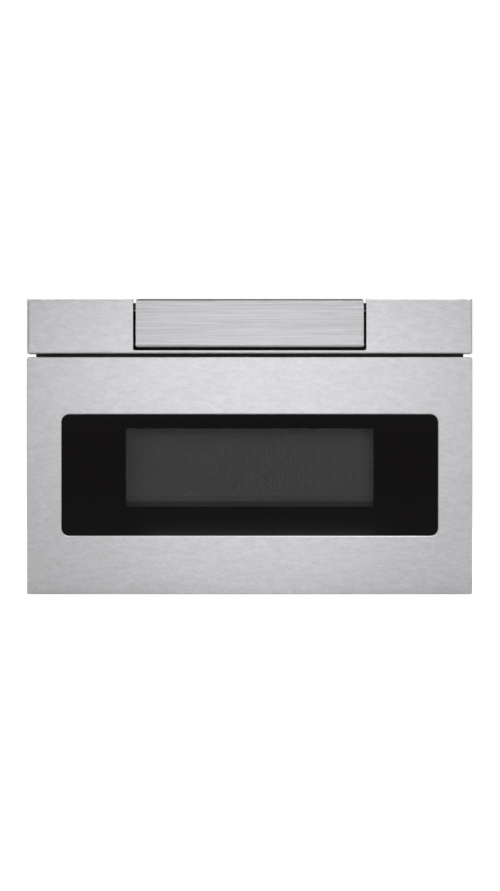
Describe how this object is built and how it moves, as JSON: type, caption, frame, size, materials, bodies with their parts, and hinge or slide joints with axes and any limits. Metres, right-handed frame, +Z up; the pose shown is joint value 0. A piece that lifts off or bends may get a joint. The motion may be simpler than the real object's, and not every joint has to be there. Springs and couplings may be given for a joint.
{
  "type": "built-in microwave drawer",
  "caption": "Built-in microwave oven that opens as a motor-driven drawer under a stainless fascia with a tilting control panel.",
  "frame": {"origin": "bottom centre of the bounding box: the middle of the width and of the depth, at the drawer front's lower edge", "axes": "+X to the right as seen by someone in front, -Y is the way the front faces and the drawer opens, +Z up"},
  "size_m": [0.6064, 0.588, 0.403],
  "materials": {
    "stainless": "brushed stainless, fine horizontal grain",
    "panel_stainless": "brushed stainless, longer horizontal grain",
    "black_glass": "gloss black printed glass, clear in the middle",
    "clear_glass": "clear glass",
    "black_painted": "satin black paint",
    "grey_painted": "light grey enamel",
    "galvanised": "zinc-coated sheet",
    "black_plastic": "matt black",
    "grey_plastic": "satin grey",
    "white_plastic": "satin off-white",
    "ceramic": "white glass-ceramic",
    "steel": "bright steel",
    "aluminium": "plain aluminium",
    "copper": "varnished copper wire",
    "board": "green circuit board",
    "screen_steel": "dark painted steel"
  },
  "bodies": {
    "chassis": {"outer_cover": "galvanised", "base_pan": "galvanised", "back_panel": "galvanised", "chassis_screws": "steel", "cord_gland": "black_plastic", "mounting_frame": "black_painted", "fascia": "stainless", "control_recess": "black_plastic", "tilt_damper": "black_plastic", "oven_shell": "grey_painted", "oven_ceiling": "grey_painted", "antenna_cover": "white_plastic", "oven_lamp": "white_plastic", "waveguide": "galvanised", "magnetron": "aluminium", "antenna_motor": "galvanised", "air_duct": "grey_plastic", "fan_housing": "black_plastic", "fan_motor": "steel", "transformer_core": "steel", "transformer_windings": "copper", "hv_capacitor": "aluminium", "power_board": "board", "line_filter_board": "board", "slide_brackets": "galvanised", "slide_outer_members": "steel", "drive_motor": "steel", "shaft_brackets": "galvanised", "shaft_bushes": "white_plastic", "interlock_switches": "black_plastic"},
    "drawer": {"drawer_front": "stainless", "door_glass": "black_glass", "choke_frame": "black_painted", "door_screen": "screen_steel", "choke_cover": "black_plastic", "inner_glass": "clear_glass", "drawer_bin": "grey_plastic", "ceramic_floor": "ceramic", "bin_glides": "white_plastic", "drawer_arms": "galvanised", "door_screws": "steel", "drive_racks": "white_plastic", "slide_inner_members": "steel", "latch_hooks": "black_plastic"},
    "left_slide": {"left_slide_middle": "steel"},
    "right_slide": {"right_slide_middle": "steel"},
    "outer_cages": {"outer_ball_cages": "white_plastic"},
    "inner_cages": {"inner_ball_cages": "white_plastic"},
    "drive_shaft": {"cross_shaft": "steel", "shaft_gears": "white_plastic"},
    "motor_gear": {"motor_pinion": "steel"},
    "plungers": {"switch_plungers": "white_plastic"},
    "fan": {"fan_blade": "black_plastic"},
    "antenna": {"rotating_antenna": "aluminium"},
    "control_panel": {"control_housing": "black_plastic", "control_face": "panel_stainless", "control_glass": "black_glass", "control_board": "board", "hinge_pins": "steel"},
    "damper_gear": {"damper_pinion": "white_plastic"}
  },
  "joints": [
    {"name": "drawer_slide", "type": "slide", "parent": "chassis", "child": "drawer", "axis": [0, -1, 0], "range_m": [0, 0.381]},
    {"name": "left_slide_travel", "type": "slide", "parent": "chassis", "child": "left_slide", "axis": [0, -1, 0], "range_m": [0, 0.1905]},
    {"name": "right_slide_travel", "type": "slide", "parent": "chassis", "child": "right_slide", "axis": [0, -1, 0], "range_m": [0, 0.1905]},
    {"name": "outer_cage_travel", "type": "slide", "parent": "chassis", "child": "outer_cages", "axis": [0, -1, 0], "range_m": [0, 0.09525]},
    {"name": "inner_cage_travel", "type": "slide", "parent": "chassis", "child": "inner_cages", "axis": [0, -1, 0], "range_m": [0, 0.28575]},
    {"name": "drive_shaft_turn", "type": "hinge", "parent": "chassis", "child": "drive_shaft", "pos_m": [0, -0.23, 0.031], "axis": [1, 0, 0], "range_deg": [-1, 1560.26]},
    {"name": "motor_gear_turn", "type": "hinge", "parent": "chassis", "child": "motor_gear", "pos_m": [0.094, -0.2074, 0.031], "axis": [1, 0, 0], "range_deg": [-3120.53, 2]},
    {"name": "plunger_travel", "type": "slide", "parent": "chassis", "child": "plungers", "axis": [0, -1, 0], "range_m": [0, 0.0015]},
    {"name": "control_panel_tilt", "type": "hinge", "parent": "chassis", "child": "control_panel", "pos_m": [0, -0.29, 0.3402], "axis": [1, 0, 0], "range_deg": [0, 45]},
    {"name": "damper_gear_turn", "type": "hinge", "parent": "chassis", "child": "damper_gear", "pos_m": [0.17, -0.2749, 0.3402], "axis": [1, 0, 0], "range_deg": [-70, 1]},
    {"name": "fan_spin", "type": "hinge", "parent": "chassis", "child": "fan", "pos_m": [0.15, 0.27, 0.3134], "axis": [0, 1, 0], "continuous": true},
    {"name": "antenna_spin", "type": "hinge", "parent": "chassis", "child": "antenna", "pos_m": [0, -0.0535, 0.268], "axis": [0, 0, 1], "continuous": true}
  ],
  "couplings": [
    {"joint": "left_slide_travel", "follows": "drawer_slide", "ratio": 0.5},
    {"joint": "right_slide_travel", "follows": "drawer_slide", "ratio": 0.5},
    {"joint": "outer_cage_travel", "follows": "drawer_slide", "ratio": 0.25},
    {"joint": "inner_cage_travel", "follows": "drawer_slide", "ratio": 0.75},
    {"joint": "drive_shaft_turn", "follows": "drawer_slide", "rad_per_m": 71.429},
    {"joint": "motor_gear_turn", "follows": "drawer_slide", "rad_per_m": -142.86},
    {"joint": "plunger_travel", "follows": "drawer_slide", "ratio": 0.003911},
    {"joint": "damper_gear_turn", "follows": "control_panel_tilt", "ratio": -1.5}
  ]
}
